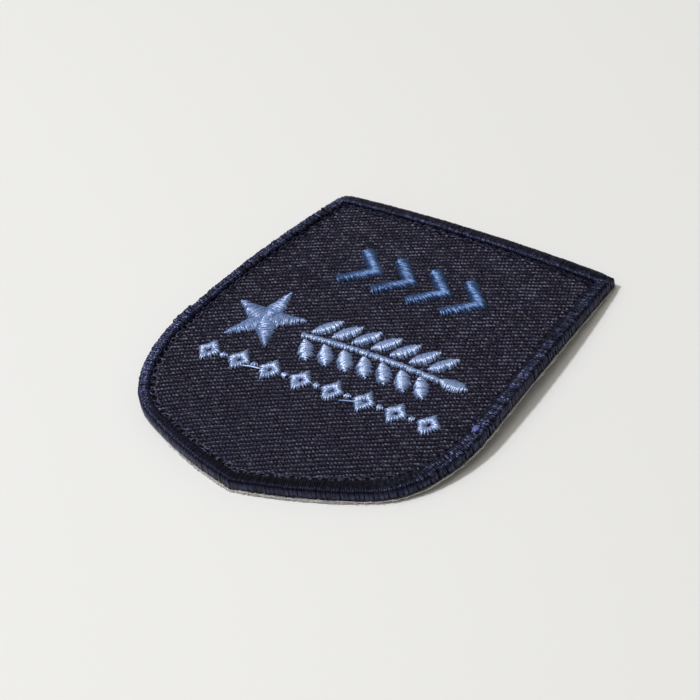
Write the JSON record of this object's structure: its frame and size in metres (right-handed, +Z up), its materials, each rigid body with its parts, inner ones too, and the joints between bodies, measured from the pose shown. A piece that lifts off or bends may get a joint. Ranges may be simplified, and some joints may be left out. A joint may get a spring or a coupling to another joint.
{
  "type": "clothing patch",
  "caption": "Shield-shaped embroidered patch with a stitched border, a star and rows of satin ornament on dark twill, to be ironed or sewn onto clothes.",
  "frame": {"origin": "on the table under the middle of the shield's outline", "axes": "+X across the shield to the right of its face, +Y from its foot to its top edge, +Z up out of its face"},
  "size_m": [0.059, 0.064, 0.0044],
  "materials": {
    "heat_seal_film": "milky heat-seal film, slightly frayed at its edge",
    "twill": "3/1 twill of near-black navy yarns with a paler grey-lilac weft",
    "border_thread": "navy polyester embroidery thread, wound densely over the edge",
    "knot_thread": "paler lilac-blue thread of the tie-off knot",
    "light_blue_thread": "light blue rayon embroidery thread in satin stitch",
    "mid_blue_thread": "middle blue rayon embroidery thread in satin stitch"
  },
  "bodies": {
    "root": {"backing_film": "heat_seal_film", "field_cloth": "twill", "border": "border_thread", "border_overlap": "border_thread", "tie_off_knot": "knot_thread", "star": "light_blue_thread", "chevron_1": "mid_blue_thread", "chevron_2": "mid_blue_thread", "chevron_3": "mid_blue_thread", "chevron_4": "mid_blue_thread", "laurel_stem": "light_blue_thread", "leaf_1": "light_blue_thread", "leaf_2": "light_blue_thread", "leaf_3": "light_blue_thread", "leaf_4": "light_blue_thread", "leaf_5": "light_blue_thread", "leaf_6": "light_blue_thread", "leaf_7": "light_blue_thread", "leaf_8": "light_blue_thread", "leaf_9": "light_blue_thread", "leaf_10": "light_blue_thread", "leaf_11": "light_blue_thread", "leaf_12": "light_blue_thread", "leaf_13": "light_blue_thread", "leaf_14": "light_blue_thread", "leaf_15": "light_blue_thread", "lozenge_1": "light_blue_thread", "lozenge_2": "light_blue_thread", "lozenge_3": "light_blue_thread", "lozenge_4": "light_blue_thread", "lozenge_5": "light_blue_thread", "lozenge_6": "light_blue_thread", "lozenge_7": "light_blue_thread", "lozenge_8": "light_blue_thread", "dot_1": "light_blue_thread", "dot_2": "light_blue_thread", "dot_3": "light_blue_thread", "dot_4": "light_blue_thread", "dot_5": "light_blue_thread", "dot_6": "light_blue_thread", "dot_7": "light_blue_thread"}
  },
  "joints": []
}
